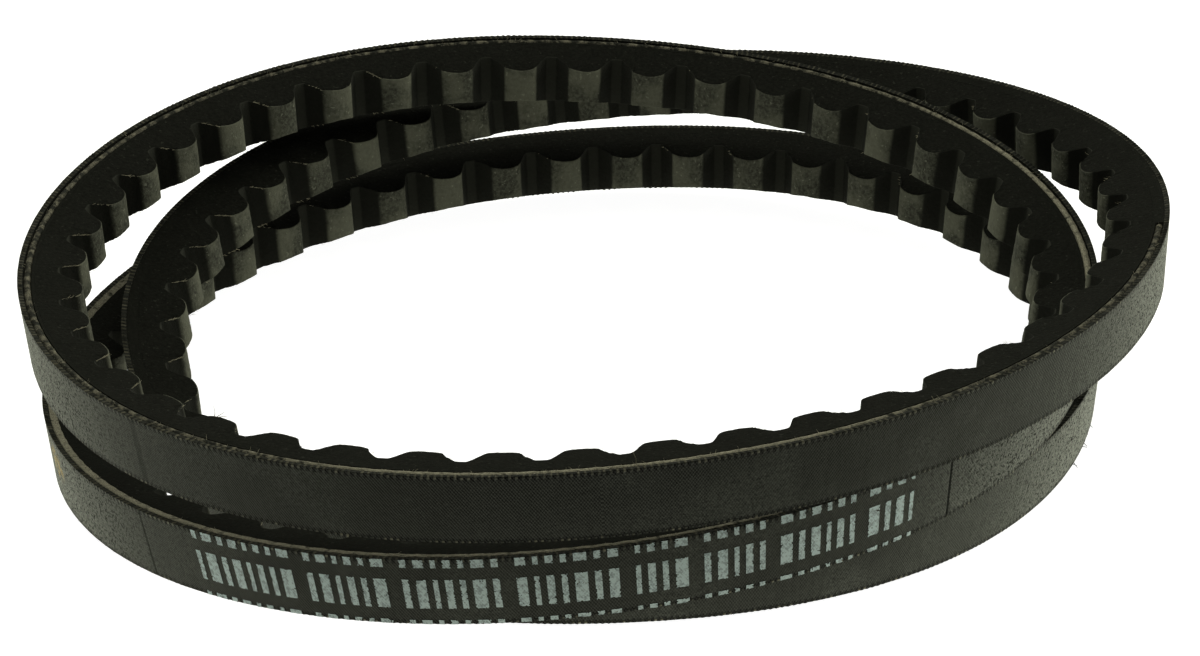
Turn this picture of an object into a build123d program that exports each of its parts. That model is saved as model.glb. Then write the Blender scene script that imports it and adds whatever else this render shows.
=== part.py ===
from build123d import *
import math
import os

# A raw-edge, moulded-cog narrow V-belt of section XPZ (3VX), 1250 mm long at its datum line,
# stored as a coil of three loops that stands on its edge.
# Millimetres. +Z is up, the coil's axis is vertical, and the front of the coil faces -Y.

# ---- belt section ----
TOP_WIDTH = 9.7            # across the back, the widest line of the belt
HEIGHT = 8.0               # from the back to the tips of the cogs
FLANK_ANGLE = 17.5         # each flank, degrees from square, with the belt bent round a coil
FABRIC = 0.65              # thickness of the rubberised fabric on the back
CORD_DIAMETER = 1.0        # tensile cord, laid straight under the fabric
CORD_SIDES = 8
CORD_LAPS = 6              # laps that are whole; one more is cut in half along each flank
GUM_BELOW_CORD = 0.45      # adhesion gum between the cord and the cogged rubber
DATUM_DEPTH = 1.65         # from the back to the line that keeps its length
BOND = 0.02                # bond line between two layers
# ---- length and cogs ----
DATUM_LENGTH = 1250.0
COGS = 128
TIP_SHARE = 0.52           # of the cog pitch
ROOT_SHARE = 0.17          # rounded bottom of the notch
NOTCH_DEPTH = 3.25
ROOT_SLOPE = 1.3           # steepness where the notch flank meets the rounded bottom
TIP_SLOPE = 1.5            # steepness where the notch flank meets the cog tip
FIRST_COG = 1.9            # middle of cog 0, past the front of the coil
# ---- cut cord on the raw edges, in turns from the front of the coil ----
EXPOSED_FROM = -0.2
EXPOSED_TO = 1.4
# ---- ink marking on the back, at the front of the middle loop: groups of plain bars ----
INK = 0.04
MARK_HEIGHT = 4.3
MARK_ACROSS = -0.3         # middle of the row, from the middle of the back
MARK_MIDDLE = 1.012        # turns from the front of the coil
MARK_GROUPS = (4, 6, 5, 4, 7, 7, 6, 8)   # bars in each group
BAR_WIDTHS = (0.6, 1.2, 0.8, 1.5, 0.7, 0.9)
BAR_GAP = 0.8
GROUP_GAP = 1.1            # added to the bar gap between two groups
UPPER_ROW_HEIGHT = 1.2     # rows of the next belts' marking, cut through at each edge
LOWER_ROW_HEIGHT = 0.6
EDGE_MARGIN = 0.05

# ---- the coil: one row per eighth of a turn, from the front, clockwise seen from above ----
# (radius, height of the belt's middle, outward lean of its top edge in degrees)
COIL = [
    # top loop
    (73, 26.5, 9), (77, 23.5, 10), (72, 23.5, 4), (63, 25, 4),
    (56, 24.5, 3), (57, 23, 4), (62, 20.5, 6), (66, 18, 7),
    # middle loop at the front, passing down the outside on the left
    (70, 14.5, 8), (75, 9.5, 10), (70, 5, 4), (65, 5, 5),
    (68, 5, 8), (72, 6, 4), (65, 5, 4), (59, 5, 5),
    # bottom loop at the front, climbing back up from the left
    (56, 5, 4), (60.5, 6, 5), (61, 12, 7), (62, 15, 6),
    (66, 17.5, 4), (69, 22.5, 2), (72, 28, 0), (71, 28.5, 6),
]
STEPS_PER_TURN = 8
TURNS = len(COIL) // STEPS_PER_TURN
SAMPLES = 2400             # points used to measure length along the coil
SPANS = 48                 # stretches that each layer is made from


def smooth_slopes(values):
    """Slopes of the closed cubic curve through the values, continuous to the second derivative."""
    count = len(values)
    slopes = [0.0] * count
    for _ in range(40):
        slopes = [(3 * (values[(i + 1) % count] - values[i - 1])
                   - slopes[i - 1] - slopes[(i + 1) % count]) / 4 for i in range(count)]
    return slopes


ROWS = [[row[column] for row in COIL] for column in range(3)]
SLOPES = [smooth_slopes(row) for row in ROWS]


def along(column, turn):
    """Value and rate per turn of one column of COIL at a place given in turns."""
    place = (turn * STEPS_PER_TURN) % len(COIL)
    i = int(place)
    j = (i + 1) % len(COIL)
    f = place - i
    a, b = ROWS[column][i], ROWS[column][j]
    p, q = SLOPES[column][i], SLOPES[column][j]
    value = (a * (1 + 2 * f) * (1 - f) ** 2 + b * f * f * (3 - 2 * f)
             + p * f * (1 - f) ** 2 - q * f * f * (1 - f))
    rate = (6 * f * (1 - f) * (b - a) + p * (1 - f) * (1 - 3 * f) + q * f * (3 * f - 2))
    return value, rate * STEPS_PER_TURN


def raw_frame(turn):
    """Datum point, direction of travel, width direction and inward direction, before placing."""
    radius, radius_rate = along(0, turn)
    height, height_rate = along(1, turn)
    lean = math.radians(along(2, turn)[0])
    angle = 2 * math.pi * turn
    outward = Vector(-math.sin(angle), -math.cos(angle), 0)
    sideways = Vector(-math.cos(angle), math.sin(angle), 0)
    point = outward * radius + Vector(0, 0, height)
    travel = (outward * radius_rate + sideways * (radius * 2 * math.pi)
              + Vector(0, 0, height_rate)).normalized()
    upward = (Vector(0, 0, 1) - travel * travel.Z).normalized()
    inward = travel.cross(upward)
    width = upward * math.cos(lean) - inward * math.sin(lean)
    depth = inward * math.cos(lean) + upward * math.sin(lean)
    return point, travel, width, depth


# ---- distance along the coil, scaled to the datum length ----
SAMPLE_TURNS = [TURNS * i / SAMPLES for i in range(SAMPLES + 1)]
DISTANCES = [0.0]
for before, after in zip(SAMPLE_TURNS, SAMPLE_TURNS[1:]):
    DISTANCES.append(DISTANCES[-1] + (raw_frame(after)[0] - raw_frame(before)[0]).length)
SCALE = DATUM_LENGTH / DISTANCES[-1]
DISTANCES = [SCALE * distance for distance in DISTANCES]


def turn_at(distance):
    """Place in turns of a distance along the datum line."""
    laps, rest = divmod(distance, DATUM_LENGTH)
    low, high = 0, SAMPLES
    while high - low > 1:
        middle = (low + high) // 2
        if DISTANCES[middle] <= rest:
            low = middle
        else:
            high = middle
    part = (rest - DISTANCES[low]) / (DISTANCES[high] - DISTANCES[low])
    return (low + part) * TURNS / SAMPLES + laps * TURNS


def distance_at(turn):
    """Distance along the datum line of a place in turns."""
    laps, rest = divmod(turn, TURNS)
    place = rest * SAMPLES / TURNS
    i = int(place)
    distance = DISTANCES[i] + (place - i) * (DISTANCES[i + 1] - DISTANCES[i])
    return distance + laps * DATUM_LENGTH


def half_width(depth):
    """Half of the belt's width at a depth below the back."""
    return TOP_WIDTH / 2 - depth * math.tan(math.radians(FLANK_ANGLE))


def unplaced_point(distance, across, depth):
    """A point of the belt from its distance along, its place across and its depth below the back."""
    point, _, width, inward = raw_frame(turn_at(distance))
    return point * SCALE + width * across + inward * (depth - DATUM_DEPTH)


# ---- the coil stands on z = 0 with its box centred on the origin ----
BACK_EDGES = [unplaced_point(DATUM_LENGTH * i / SAMPLES, side * TOP_WIDTH / 2, 0)
              for i in range(SAMPLES) for side in (-1, 1)]
PLACE = Vector(
    -(min(p.X for p in BACK_EDGES) + max(p.X for p in BACK_EDGES)) / 2,
    -(min(p.Y for p in BACK_EDGES) + max(p.Y for p in BACK_EDGES)) / 2,
    -min(p.Z for p in BACK_EDGES),
)


def belt_point(distance, across, depth):
    return unplaced_point(distance, across, depth) + PLACE


# ---- faces: each is ruled between two lines that run along the belt ----
def line_along(start, end, start_rates=(0, 0), end_rates=(0, 0)):
    """Four control points of the cubic from start to end, each (distance, across, depth).

    The rates are the changes of across and depth per millimetre of distance."""
    third = (end[0] - start[0]) / 3
    step = 0.05

    def rate(place, rates):
        after = belt_point(place[0] + step, place[1] + rates[0] * step, place[2] + rates[1] * step)
        before = belt_point(place[0] - step, place[1] - rates[0] * step, place[2] - rates[1] * step)
        return (after - before) / (2 * step)

    first, last = belt_point(*start), belt_point(*end)
    return [first, first + rate(start, start_rates) * third, last - rate(end, end_rates) * third, last]


def ruled(line_a, line_b):
    return Face.make_bezier_surface([[a, b] for a, b in zip(line_a, line_b)])


def section_faces(outline, start, end):
    """Faces between two sections of a layer, along each side of its outline of (across, depth)."""
    lines = [line_along((start, *corner), (end, *corner)) for corner in outline]
    return [ruled(a, b) for a, b in zip(lines, lines[1:] + lines[:1])]


def section_cap(outline, distance):
    """Flat face across the belt."""
    corners = [belt_point(distance, *corner) for corner in outline]
    return Face(Wire.make_polygon(corners, close=True))


def closed_solid(faces):
    solid = Solid(Shell(faces))
    return solid if solid.volume > 0 else Solid(Shell([-face for face in faces]))


def span_start(index):
    return DATUM_LENGTH * index / SPANS


def ring(outline):
    """A layer with one outline all the way round the belt."""
    faces = []
    for index in range(SPANS):
        faces += section_faces(outline, span_start(index), span_start(index + 1))
    return closed_solid(faces)


def strip(outline, first_span, last_span):
    """A layer with one outline over some of the spans."""
    faces = [section_cap(outline, span_start(first_span)), section_cap(outline, span_start(last_span))]
    for index in range(first_span, last_span):
        faces += section_faces(outline, span_start(index), span_start(index + 1))
    return closed_solid(faces)


def block(start, end, across, height, bottom, top):
    """A short piece of a layer, such as one printed bar."""
    low, high = across - height / 2, across + height / 2
    outline = [(low, bottom), (high, bottom), (high, top), (low, top)]
    caps = [section_cap(outline, start), section_cap(outline, end)]
    return closed_solid(caps + section_faces(outline, start, end))


# ---- levels below the back ----
CORD_TOP = FABRIC + BOND
CORD_MIDDLE = CORD_TOP + CORD_DIAMETER / 2
GUM_BOTTOM = CORD_TOP + CORD_DIAMETER + GUM_BELOW_CORD
RUBBER_TOP = GUM_BOTTOM + BOND
CORD_SPACING = 2 * half_width(CORD_MIDDLE) / (CORD_LAPS + 1)
EXPOSED_SPANS = [round(distance_at(turn) / DATUM_LENGTH * SPANS) for turn in (EXPOSED_FROM, EXPOSED_TO)]


def cord_outline(middle, size):
    """Corners of a cord's section, flat side up, from its top left corner round its underside."""
    corner_radius = size / 2 / math.cos(math.pi / CORD_SIDES)
    corners = []
    for i in range(CORD_SIDES):
        angle = 2 * math.pi * (i + 0.5) / CORD_SIDES
        corners.append((middle - corner_radius * math.sin(angle),
                        CORD_MIDDLE - corner_radius * math.cos(angle)))
    return corners


def cut_cord_outline(side, size):
    """The inner half of a cord whose middle lies on a flank."""
    middle = side * half_width(CORD_MIDDLE)
    inner = [c for c in cord_outline(0, size) if c[0] < 0]
    top, bottom = inner[0][1], inner[-1][1]
    return ([(side * half_width(top), top)] + [(middle + side * c[0], c[1]) for c in inner]
            + [(side * half_width(bottom), bottom)])


def back_fabric():
    """Rubberised twill over the whole back, cut off flush with the flanks."""
    top, bottom = half_width(0), half_width(FABRIC)
    return ring([(-top, 0), (top, 0), (bottom, FABRIC), (-bottom, FABRIC)])


def tensile_cord(lap):
    """One lap of the cord round the belt, numbered from the upper flank."""
    middle = half_width(CORD_MIDDLE) - lap * CORD_SPACING
    return ring(cord_outline(middle, CORD_DIAMETER - 2 * BOND))


def raw_edge_cord(side):
    """The lap that the flank cuts through, where it shows on the raw edge."""
    return strip(cut_cord_outline(side, CORD_DIAMETER - 2 * BOND), *EXPOSED_SPANS)


def adhesion_gum():
    """Rubber round the cord, with a groove for each lap and a rebate for each cut lap."""
    rebates = {side: cut_cord_outline(side, CORD_DIAMETER) for side in (1, -1)}

    def flank(side, open_rebate):
        rebate = rebates[side]
        corner, inner, foot = rebate[0], rebate[1:-1], rebate[-1]
        path = inner if open_rebate else [inner[0], corner]
        return path + [foot, (side * half_width(GUM_BOTTOM), GUM_BOTTOM)]

    grooves = []
    for lap in range(CORD_LAPS, 0, -1):
        grooves += cord_outline(half_width(CORD_MIDDLE) - lap * CORD_SPACING, CORD_DIAMETER)

    faces = []
    first, last = EXPOSED_SPANS
    for index in range(first, first + SPANS):
        exposed = index < last
        start, end = span_start(index), span_start(index + 1)
        outline = flank(-1, exposed)[::-1] + grooves + flank(1, exposed)
        faces += section_faces(outline, start, end)
    for distance in (span_start(first), span_start(last)):
        faces += [section_cap(rebates[side], distance) for side in (1, -1)]
    return closed_solid(faces)


# ---- cogged rubber ----
COG_PITCH = DATUM_LENGTH / COGS


def cog_profile():
    """Underside of one cog from notch to notch, as (start, end), each (distance, depth, slope)."""
    root, tip = ROOT_SHARE * COG_PITCH, TIP_SHARE * COG_PITCH
    shoulder = HEIGHT - NOTCH_DEPTH + ROOT_SLOPE * root / 4
    root_end, tip_start = root / 2, (COG_PITCH - tip) / 2
    tip_end, root_start = COG_PITCH - tip_start, COG_PITCH - root_end
    return [
        ((-root_end, shoulder, -ROOT_SLOPE), (root_end, shoulder, ROOT_SLOPE)),
        ((root_end, shoulder, ROOT_SLOPE), (tip_start, HEIGHT, TIP_SLOPE)),
        ((tip_start, HEIGHT, 0), (tip_end, HEIGHT, 0)),
        ((tip_end, HEIGHT, -TIP_SLOPE), (root_start, shoulder, -ROOT_SLOPE)),
    ]


def cogged_rubber():
    """Compression rubber with its moulded cogs, in one piece all the way round."""
    taper = math.tan(math.radians(FLANK_ANGLE))
    faces = []
    for cog in range(COGS):
        notch = FIRST_COG + (cog - 0.5) * COG_PITCH
        for (start, start_depth, start_slope), (end, end_depth, end_slope) in cog_profile():
            under, over = [], []
            for side in (-1, 1):
                under.append(line_along(
                    (notch + start, side * half_width(start_depth), start_depth),
                    (notch + end, side * half_width(end_depth), end_depth),
                    (-side * taper * start_slope, start_slope),
                    (-side * taper * end_slope, end_slope)))
                over.append(line_along(
                    (notch + start, side * half_width(RUBBER_TOP), RUBBER_TOP),
                    (notch + end, side * half_width(RUBBER_TOP), RUBBER_TOP)))
            faces += [ruled(over[0], over[1]), ruled(over[1], under[1]),
                      ruled(under[1], under[0]), ruled(under[0], over[0])]
    return closed_solid(faces)


# ---- ink ----
def marking_bars():
    """Start and end of every bar of the marking, as distances along the belt."""
    bars = []
    place = 0.0
    for group in MARK_GROUPS:
        for _ in range(group):
            width = BAR_WIDTHS[len(bars) % len(BAR_WIDTHS)]
            bars.append((place, place + width))
            place += width + BAR_GAP
        place += GROUP_GAP
    start_of_row = distance_at(MARK_MIDDLE) - bars[-1][1] / 2
    return [(start_of_row + start, start_of_row + end) for start, end in bars]


def marking(across, height):
    """A row of plain bars in pale ink on the back of the belt."""
    return Compound([block(start, end, across, height, -INK - BOND, -BOND)
                     for start, end in marking_bars()])


def edge_row(side, height):
    """A row that the flank has cut through, at the upper (1) or lower (-1) edge of the back."""
    return marking(side * (TOP_WIDTH / 2 - EDGE_MARGIN - height / 2), height)


PARTS = {
    "back_fabric": back_fabric(),
    "adhesion_gum": adhesion_gum(),
    "raw_edge_cord_upper": raw_edge_cord(1),
    "raw_edge_cord_lower": raw_edge_cord(-1),
    "cogged_rubber": cogged_rubber(),
    "printed_marking": marking(MARK_ACROSS, MARK_HEIGHT),
    "printed_edge_row_upper": edge_row(1, UPPER_ROW_HEIGHT),
    "printed_edge_row_lower": edge_row(-1, LOWER_ROW_HEIGHT),
}
for number in range(1, CORD_LAPS + 1):
    PARTS[f"tensile_cord_lap_{number}"] = tensile_cord(number)

os.makedirs("parts", exist_ok=True)
for name, solid in PARTS.items():
    export_step(solid, f"parts/{name}.step")
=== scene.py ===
"""A coiled raw-edge V-belt with moulded cogs: a fabric back, a cut cord on the flank and cogged rubber."""
import math

import bpy
import numpy as np
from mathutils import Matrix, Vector


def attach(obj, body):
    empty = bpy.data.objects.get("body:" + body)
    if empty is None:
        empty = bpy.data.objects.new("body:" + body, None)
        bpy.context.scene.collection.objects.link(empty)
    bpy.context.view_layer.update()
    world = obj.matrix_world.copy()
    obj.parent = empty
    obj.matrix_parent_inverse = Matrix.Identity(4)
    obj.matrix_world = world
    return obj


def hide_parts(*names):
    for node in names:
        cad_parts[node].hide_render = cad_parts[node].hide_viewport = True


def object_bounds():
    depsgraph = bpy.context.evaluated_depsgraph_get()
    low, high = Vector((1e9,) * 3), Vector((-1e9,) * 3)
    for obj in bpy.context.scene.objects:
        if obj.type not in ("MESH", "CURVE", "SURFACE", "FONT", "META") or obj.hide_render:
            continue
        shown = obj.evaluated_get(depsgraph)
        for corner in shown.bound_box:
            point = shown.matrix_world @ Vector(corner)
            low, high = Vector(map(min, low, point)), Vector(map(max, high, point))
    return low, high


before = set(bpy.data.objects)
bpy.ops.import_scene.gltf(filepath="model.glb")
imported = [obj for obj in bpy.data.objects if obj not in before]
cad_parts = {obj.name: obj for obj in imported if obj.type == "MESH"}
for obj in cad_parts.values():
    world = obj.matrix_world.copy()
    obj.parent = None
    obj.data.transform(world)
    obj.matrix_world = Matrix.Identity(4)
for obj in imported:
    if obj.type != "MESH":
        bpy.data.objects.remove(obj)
CAD_LOW, CAD_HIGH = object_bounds()

MM = 0.001
rng = np.random.default_rng(11)

# ---- belt section, in millimetres ----
TOP_WIDTH = 9.7
HEIGHT = 8.0
TAPER = math.tan(math.radians(17.5))
FABRIC = 0.65
CORD_DIAMETER = 1.0
CORD_LAPS = 6
GUM_BELOW_CORD = 0.45
DATUM_DEPTH = 1.65
BOND = 0.02
DATUM_LENGTH = 1250.0
COGS = 128
COG_PITCH = DATUM_LENGTH / COGS
FIRST_COG = 1.9
NOTCH_DEPTH = 3.25
CORD_TOP = FABRIC + BOND
CORD_MIDDLE = CORD_TOP + CORD_DIAMETER / 2
GUM_BOTTOM = CORD_TOP + CORD_DIAMETER + GUM_BELOW_CORD
RUBBER_TOP = GUM_BOTTOM + BOND

# ---- the coil: (radius, height, outward lean in degrees) at each eighth of a turn ----
COIL = [
    (73, 26.5, 9), (77, 23.5, 10), (72, 23.5, 4), (63, 25, 4),
    (56, 24.5, 3), (57, 23, 4), (62, 20.5, 6), (66, 18, 7),
    (70, 14.5, 8), (75, 9.5, 10), (70, 5, 4), (65, 5, 5),
    (68, 5, 8), (72, 6, 4), (65, 5, 4), (59, 5, 5),
    (56, 5, 4), (60.5, 6, 5), (61, 12, 7), (62, 15, 6),
    (66, 17.5, 4), (69, 22.5, 2), (72, 28, 0), (71, 28.5, 6),
]
STEPS_PER_TURN = 8
TURNS = len(COIL) // STEPS_PER_TURN
SAMPLES = 2400


SLOPE_PASSES = 40           # enough for the slopes to settle


def smooth_slopes(values):
    """Slopes of the closed cubic curve through the values, continuous to the second derivative."""
    slopes = np.zeros_like(values)
    rise = 3 * (np.roll(values, -1) - np.roll(values, 1))
    for _ in range(SLOPE_PASSES):
        slopes = (rise - np.roll(slopes, 1) - np.roll(slopes, -1)) / 4
    return slopes


ROWS = np.array(COIL, float).T
SLOPES = [smooth_slopes(row) for row in ROWS]


def along(column, turn):
    """Value and rate per turn of one column of COIL at places given in turns."""
    place = (turn * STEPS_PER_TURN) % len(COIL)
    i = np.floor(place).astype(int) % len(COIL)
    j = (i + 1) % len(COIL)
    f = place - np.floor(place)
    a, b = ROWS[column][i], ROWS[column][j]
    p, q = SLOPES[column][i], SLOPES[column][j]
    value = (a * (1 + 2 * f) * (1 - f) ** 2 + b * f * f * (3 - 2 * f)
             + p * f * (1 - f) ** 2 - q * f * f * (1 - f))
    rate = 6 * f * (1 - f) * (b - a) + p * (1 - f) * (1 - 3 * f) + q * f * (3 * f - 2)
    return value, rate * STEPS_PER_TURN


def unit(vectors):
    return vectors / np.linalg.norm(vectors, axis=-1, keepdims=True)


def raw_frames(turn):
    """Datum points, width directions and inward directions, before scaling and placing."""
    radius, radius_rate = along(0, turn)
    height, height_rate = along(1, turn)
    lean = np.radians(along(2, turn)[0])[:, None]
    angle = 2 * math.pi * turn
    zero = np.zeros_like(angle)
    up = np.stack([zero, zero, zero + 1], 1)
    outward = np.stack([-np.sin(angle), -np.cos(angle), zero], 1)
    sideways = np.stack([-np.cos(angle), np.sin(angle), zero], 1)
    point = outward * radius[:, None] + up * height[:, None]
    travel = unit(outward * radius_rate[:, None] + sideways * (radius * 2 * math.pi)[:, None]
                  + up * height_rate[:, None])
    upward = unit(up - travel * travel[:, 2:3])
    inward = np.cross(travel, upward)
    width = upward * np.cos(lean) - inward * np.sin(lean)
    depth = inward * np.cos(lean) + upward * np.sin(lean)
    return point, width, depth


SAMPLE_TURNS = np.linspace(0, TURNS, SAMPLES + 1)
CHORDS = np.linalg.norm(np.diff(raw_frames(SAMPLE_TURNS)[0], axis=0), axis=1)
DISTANCES = np.concatenate([[0], np.cumsum(CHORDS)])
SCALE = DATUM_LENGTH / DISTANCES[-1]
DISTANCES *= SCALE


def distance_at(turn):
    laps, rest = divmod(turn, TURNS)
    return laps * DATUM_LENGTH + float(np.interp(rest, SAMPLE_TURNS, DISTANCES))


def unplaced(distance, across, depth):
    """Points of the belt in millimetres: distance has one value per row of across and depth."""
    turn = np.interp(np.mod(distance, DATUM_LENGTH), DISTANCES, SAMPLE_TURNS)
    point, width, inward = raw_frames(turn)
    return (point[:, None] * SCALE + width[:, None] * across[..., None]
            + inward[:, None] * (depth[..., None] - DATUM_DEPTH))


# ---- the coil is placed by the middle and the base of the CAD model's box ----
EDGE_STATIONS = np.linspace(0, DATUM_LENGTH, SAMPLES, endpoint=False)
EDGES = unplaced(EDGE_STATIONS, np.tile([-TOP_WIDTH / 2, TOP_WIDTH / 2], (SAMPLES, 1)),
                 np.zeros((SAMPLES, 2))).reshape(-1, 3)
CAD_MIDDLE = (np.array(CAD_LOW) + np.array(CAD_HIGH)) / 2 / MM
PLACE = CAD_MIDDLE - (EDGES.min(0) + EDGES.max(0)) / 2
PLACE[2] = CAD_LOW.z / MM - EDGES[:, 2].min()


def belt_points(distance, across, depth):
    """Points in metres."""
    return (unplaced(distance, across, depth) + PLACE) * MM


def half_width(depth):
    return TOP_WIDTH / 2 - depth * TAPER


# ---- cog profile ----
ROOT = 0.17 * COG_PITCH
TIP = 0.52 * COG_PITCH
ROOT_SLOPE = 1.3
FLOOR = HEIGHT - NOTCH_DEPTH + 0.2
SHOULDER = HEIGHT - NOTCH_DEPTH + ROOT_SLOPE * ROOT / 4
TIP_START = (COG_PITCH - TIP) / 2
TIP_END = COG_PITCH - TIP_START
CREST = TIP_START + TIP * 0.55
ROUND_FROM = TIP_END - 0.8
ROUND_TO = COG_PITCH - ROOT * 0.45
LEADING_DROP = 0.62         # the dome's fall from its crest to the leading corner
TRAILING_DROP = 0.3
# places along one cog: (distance from the middle of a notch, depth, slope)
NOTCH_MIDDLE = (0, FLOOR, 0)
NOTCH_FOOT = (ROOT / 2, SHOULDER, ROOT_SLOPE)
WALL_HEAD = (TIP_START - 0.05, HEIGHT - LEADING_DROP - 0.35, 2.0)
LEADING_CORNER = (TIP_START + 0.3, HEIGHT - LEADING_DROP + 0.1, 0.5)
CREST_POINT = (CREST, HEIGHT, 0)
ROUND_START = (ROUND_FROM, HEIGHT - TRAILING_DROP, -0.42)
ROUND_END = (ROUND_TO, FLOOR, 0)
NEXT_NOTCH = (COG_PITCH, FLOOR, 0)
# stretches of one cog: from, to, steps
PROFILE = [
    (NOTCH_MIDDLE, NOTCH_FOOT, 3), (NOTCH_FOOT, WALL_HEAD, 6), (WALL_HEAD, LEADING_CORNER, 4),
    (LEADING_CORNER, CREST_POINT, 5), (CREST_POINT, ROUND_START, 4), (ROUND_START, ROUND_END, 10),
    (ROUND_END, NEXT_NOTCH, 1),
]


# ---- materials ----
class Nodes:
    """Short names for the nodes of one material."""

    def __init__(self, name):
        self.material = bpy.data.materials.new(name)
        self.material.use_nodes = True
        self.tree = self.material.node_tree
        self.shader = self.tree.nodes["Principled BSDF"]

    def node(self, kind, **settings):
        made = self.tree.nodes.new(kind)
        for key, value in settings.items():
            setattr(made, key, value)
        return made

    def feed(self, socket, value):
        if isinstance(value, bpy.types.NodeSocket):
            self.tree.links.new(value, socket)
        elif value is not None:
            socket.default_value = value

    def math(self, operation, a, b=None, c=None, clamp=False):
        made = self.node("ShaderNodeMath", operation=operation, use_clamp=clamp)
        for socket, value in zip(made.inputs, (a, b, c)):
            self.feed(socket, value)
        return made.outputs[0]

    def mix(self, factor, a, b, blend="MIX"):
        made = self.node("ShaderNodeMix", data_type="RGBA", blend_type=blend)
        self.feed(made.inputs["Factor"], factor)
        self.feed(made.inputs[6], a)
        self.feed(made.inputs[7], b)
        return made.outputs[2]

    def belt_uv(self):
        """Distance along and place across the belt, in millimetres."""
        uv = self.node("ShaderNodeUVMap", uv_map="belt")
        split = self.node("ShaderNodeSeparateXYZ")
        self.feed(split.inputs[0], uv.outputs[0])
        return split.outputs[0], split.outputs[1]

    def vector(self, x, y=0.0, z=0.0):
        made = self.node("ShaderNodeCombineXYZ")
        for socket, value in zip(made.inputs, (x, y, z)):
            self.feed(socket, value)
        return made.outputs[0]

    def place(self):
        return self.node("ShaderNodeTexCoord").outputs["Object"]

    def noise(self, vector, scale, detail=2.0, roughness=0.5):
        made = self.node("ShaderNodeTexNoise")
        self.feed(made.inputs["Vector"], vector)
        made.inputs["Scale"].default_value = scale
        made.inputs["Detail"].default_value = detail
        made.inputs["Roughness"].default_value = roughness
        return made.outputs["Fac"]

    def above(self, value, low, high):
        """0 below low, 1 above high, smooth between."""
        made = self.node("ShaderNodeMapRange", interpolation_type="SMOOTHSTEP")
        self.feed(made.inputs["Value"], value)
        made.inputs["From Min"].default_value = low
        made.inputs["From Max"].default_value = high
        return made.outputs[0]

    def bump(self, height, distance, normal=None, strength=1.0):
        made = self.node("ShaderNodeBump")
        made.inputs["Strength"].default_value = strength
        made.inputs["Distance"].default_value = distance * MM
        self.feed(made.inputs["Height"], height)
        self.feed(made.inputs["Normal"], normal)
        return made.outputs[0]

    def finish(self, color, roughness, normal, specular=0.5):
        self.feed(self.shader.inputs["Base Color"], color)
        self.feed(self.shader.inputs["Roughness"], roughness)
        self.feed(self.shader.inputs["Normal"], normal)
        self.shader.inputs["Specular IOR Level"].default_value = specular
        return self.material


def grey(value, warm=0.0):
    """A near-neutral linear colour; warm makes it a little more yellow."""
    return (value * (0.95 + 0.3 * warm), value, value * (0.95 - 0.9 * warm), 1)


YARN_ALONG = 0.38           # period of the bias-cut weave along and across the belt
YARN_ACROSS = 0.58
EDGE_YARN = 0.76            # distance between yarn ends on the cut edges
SEAMS = ((368.2, 0.26, 0.9), (472.0, 0.26, 0.5), (58.5, 0.7, 0.25))      # (distance, half width, strength)
STAIN_AT = (498.5, 1.2)              # distance and place across
STAIN_SIZE = (4.5, 3.0)
# painted shading of the weave: the distance where the swing between the two yarn sets starts
SHADING_SWAY_FROM = 385.0
# these distances lie at the coil's left and right sides, where painted sheen lightens the back as well as the
# pits
SHEEN_AND_PITS_AT = (110.0, 325.0, 520.0, 735.0, 1135.0)      # the back is pitted most round these distances
SHEEN_AND_PITS_LENGTH = 60.0


def weave_nodes(n, s, across):
    """The bias-cut weave, -1 to 1: two sets of diagonal yarns, with painted shading that shifts which set
    shows stronger once round each turn of the coil.
    """
    along_s = n.math("MULTIPLY", s, 2 * math.pi / YARN_ALONG)
    along_a = n.math("MULTIPLY", across, 2 * math.pi / YARN_ACROSS)
    falling = n.math("COSINE", n.math("SUBTRACT", along_s, along_a))
    rising = n.math("COSINE", n.math("ADD", along_s, along_a))
    # painted shading: the weight of the two yarn sets swings once a turn, with the coil's left and right
    # sides
    turned = n.math("MULTIPLY", n.math("SUBTRACT", s, SHADING_SWAY_FROM), 2 * math.pi * TURNS / DATUM_LENGTH)
    shading_sway = n.math("SINE", turned)
    weight = n.math("MULTIPLY_ADD", shading_sway, 0.3, 0.5)
    return n.math("SUBTRACT", n.math("MULTIPLY", falling, weight),
                  n.math("MULTIPLY", rising, n.math("SUBTRACT", 1.0, weight)))


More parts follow.
